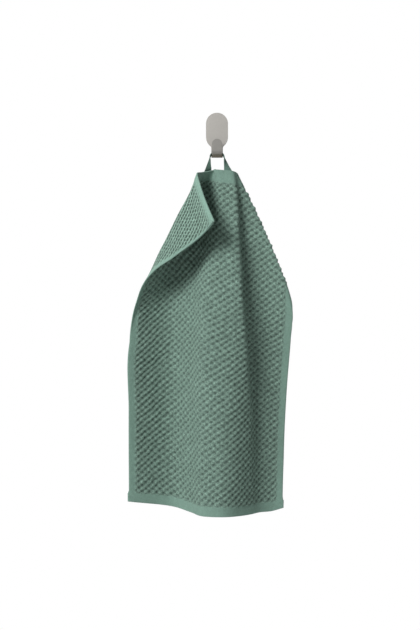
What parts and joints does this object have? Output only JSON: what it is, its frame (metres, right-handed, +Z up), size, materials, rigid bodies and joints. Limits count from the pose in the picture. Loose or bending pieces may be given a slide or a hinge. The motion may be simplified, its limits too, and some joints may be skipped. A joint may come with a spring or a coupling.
{
  "type": "hand towel on a wall hook",
  "caption": "Honeycomb-weave hand towel hanging by its tape loop from a bent sheet-metal wall hook, with its top corners folded over.",
  "frame": {"origin": "centre of the hook plate's flat back face, on the wall", "axes": "+Z up, +Y into the wall, +X to the right as a viewer in front of the wall sees it"},
  "size_m": [0.2417, 0.1096, 0.5937],
  "materials": {
    "towel cloth": "matt cotton in a honeycomb weave with flat hems and selvages",
    "hanging tape": "woven cotton tape",
    "hook metal": "satin nickel-coloured sheet metal"
  },
  "bodies": {
    "root": {"towel": "towel cloth", "hanging_loop": "hanging tape", "wall_hook": "hook metal"}
  },
  "joints": []
}
